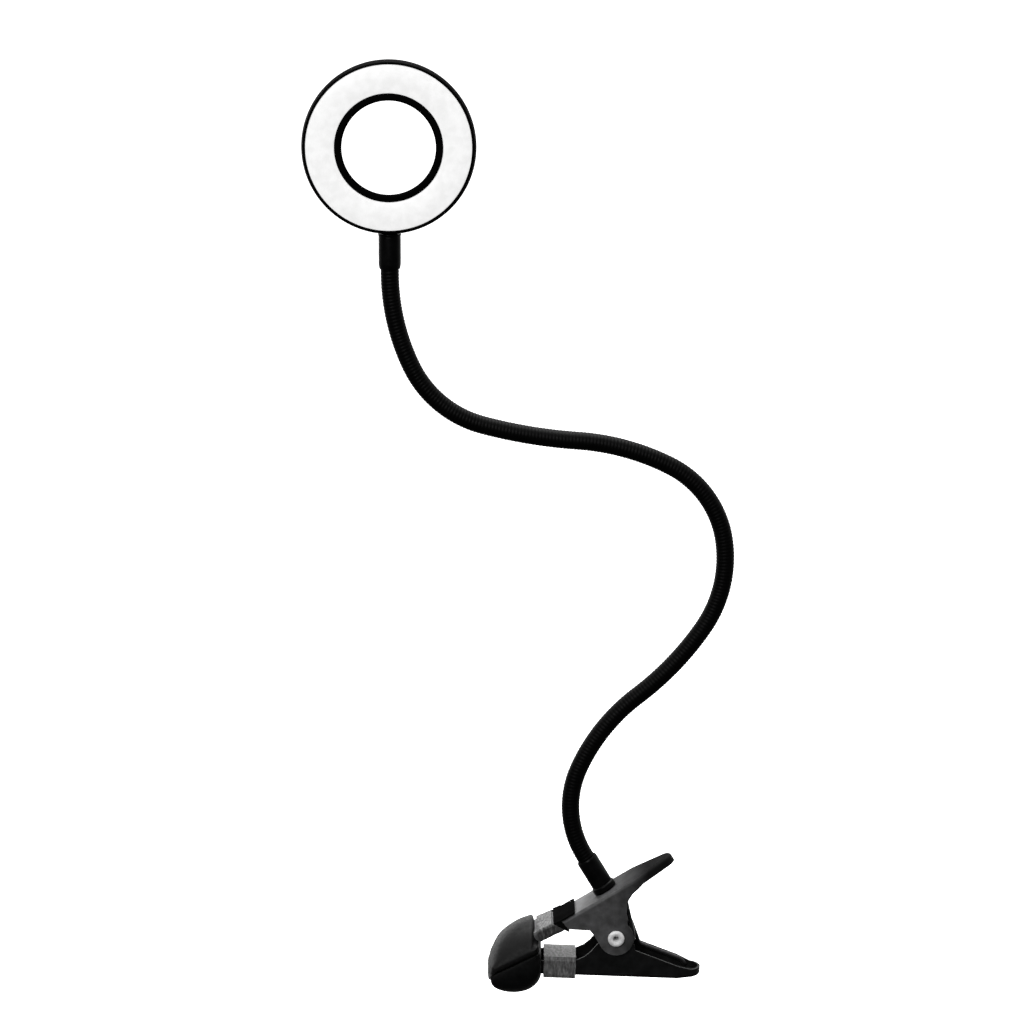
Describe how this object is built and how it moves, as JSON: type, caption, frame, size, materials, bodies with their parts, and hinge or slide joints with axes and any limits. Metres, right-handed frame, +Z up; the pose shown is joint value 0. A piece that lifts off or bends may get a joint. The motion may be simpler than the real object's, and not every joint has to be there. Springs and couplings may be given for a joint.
{
  "type": "clip-on ring light",
  "caption": "Small ring light with an opal annular diffuser, on a long bendable gooseneck held by a sprung steel clamp with rubber-booted jaws.",
  "frame": {"origin": "middle of the closed jaws, on the grip plane, at mid-width", "axes": "+X from the jaws towards the clamp's handles, +Z up towards the ring head, +Y to the back of the head; the light shines along -Y"},
  "size_m": [0.2245, 0.04, 0.4974],
  "materials": {
    "black_steel": "satin black baked enamel",
    "chrome": "bright nickel-chrome plate",
    "zinc_steel": "bright zinc plate",
    "spring_steel": "oiled spring wire",
    "rubber": "satin black vinyl rubber",
    "wrap": "crinkled grey shrink film",
    "black_plastic": "fine satin black ABS",
    "opal_plastic": "opal polycarbonate",
    "board_white": "white solder mask",
    "led_daylight": "pale yellow phosphor",
    "led_warm": "orange phosphor",
    "chip_black": "moulded epoxy",
    "wire_red": "PVC insulation",
    "wire_black": "PVC insulation"
  },
  "bodies": {
    "clamp": {"upper_lever": "black_steel", "pivot_rivet": "chrome", "torsion_spring": "spring_steel", "upper_jaw_boot": "rubber", "upper_jaw_sleeve": "wrap", "upper_arm_band": "black_plastic", "base_ferrule": "black_steel", "base_washer": "zinc_steel", "base_nut": "zinc_steel", "gooseneck_cover_1": "black_steel", "gooseneck_core_1": "zinc_steel"},
    "lower_jaw": {"lower_lever": "black_steel", "lower_jaw_boot": "rubber", "lower_jaw_sleeve": "wrap"},
    "neck_2": {"gooseneck_cover_2": "black_steel", "gooseneck_core_2": "zinc_steel"},
    "neck_3": {"gooseneck_cover_3": "black_steel", "gooseneck_core_3": "zinc_steel"},
    "neck_4": {"gooseneck_cover_4": "black_steel", "gooseneck_core_4": "zinc_steel"},
    "neck_5": {"gooseneck_cover_5": "black_steel", "gooseneck_core_5": "zinc_steel"},
    "neck_6": {"gooseneck_cover_6": "black_steel", "gooseneck_core_6": "zinc_steel"},
    "neck_7": {"gooseneck_cover_7": "black_steel", "gooseneck_core_7": "zinc_steel"},
    "neck_8": {"gooseneck_cover_8": "black_steel", "gooseneck_core_8": "zinc_steel"},
    "neck_9": {"gooseneck_cover_9": "black_steel", "gooseneck_core_9": "zinc_steel"},
    "head": {"gooseneck_cover_10": "black_steel", "gooseneck_core_10": "zinc_steel", "head_ferrule": "black_steel", "stem_nut": "zinc_steel", "rear_shell": "black_plastic", "outer_rim": "black_plastic", "inner_trim": "black_plastic", "diffuser": "opal_plastic", "led_board": "board_white", "led_strip_daylight": "led_daylight", "led_strip_warm": "led_warm", "current_resistor": "chip_black", "board_screw_1": "zinc_steel", "board_screw_2": "zinc_steel", "board_screw_3": "zinc_steel", "board_screw_4": "zinc_steel", "inlet_shell": "zinc_steel", "inlet_tongue": "chip_black", "inlet_board": "board_white", "driver_chip": "chip_black", "supply_wire_red": "wire_red", "supply_wire_black": "wire_black"}
  },
  "joints": [
    {"name": "clamp_hinge", "type": "hinge", "parent": "clamp", "child": "lower_jaw", "pos_m": [0.053, 0, 0.012], "axis": [0, -1, 0], "range_deg": [0, 48], "stiffness_Nm_per_rad": 1.2, "springref_deg": -40.11, "deforming": ["torsion_spring"]},
    {"name": "neck_bend_1", "type": "hinge", "parent": "clamp", "child": "neck_2", "pos_m": [0.03331, 0, 0.10235], "axis": [0.9135, 0, -0.4067], "range_deg": [-20, 20]},
    {"name": "neck_bend_2", "type": "hinge", "parent": "neck_2", "child": "neck_3", "pos_m": [0.06391, 0, 0.14152], "axis": [0, 1, 0], "range_deg": [-20, 20]},
    {"name": "neck_bend_3", "type": "hinge", "parent": "neck_3", "child": "neck_4", "pos_m": [0.098, 0, 0.17808], "axis": [0.829, 0, -0.5592], "range_deg": [-20, 20]},
    {"name": "neck_bend_4", "type": "hinge", "parent": "neck_4", "child": "neck_5", "pos_m": [0.10862, 0, 0.22595], "axis": [0, 1, 0], "range_deg": [-20, 20]},
    {"name": "neck_bend_5", "type": "hinge", "parent": "neck_5", "child": "neck_6", "pos_m": [0.08019, 0, 0.26508], "axis": [0.454, 0, 0.891], "range_deg": [-20, 20]},
    {"name": "neck_bend_6", "type": "hinge", "parent": "neck_6", "child": "neck_7", "pos_m": [0.03214, 0, 0.2784], "axis": [0, 1, 0], "range_deg": [-20, 20]},
    {"name": "neck_bend_7", "type": "hinge", "parent": "neck_7", "child": "neck_8", "pos_m": [-0.0173, 0, 0.28667], "axis": [0.2588, 0, 0.9659], "range_deg": [-20, 20]},
    {"name": "neck_bend_8", "type": "hinge", "parent": "neck_8", "child": "neck_9", "pos_m": [-0.05455, 0, 0.31793], "axis": [0, 1, 0], "range_deg": [-20, 20]},
    {"name": "head_nod", "type": "hinge", "parent": "neck_9", "child": "head", "pos_m": [-0.06532, 0, 0.36655], "axis": [1, 0, 0], "range_deg": [-20, 20]}
  ]
}
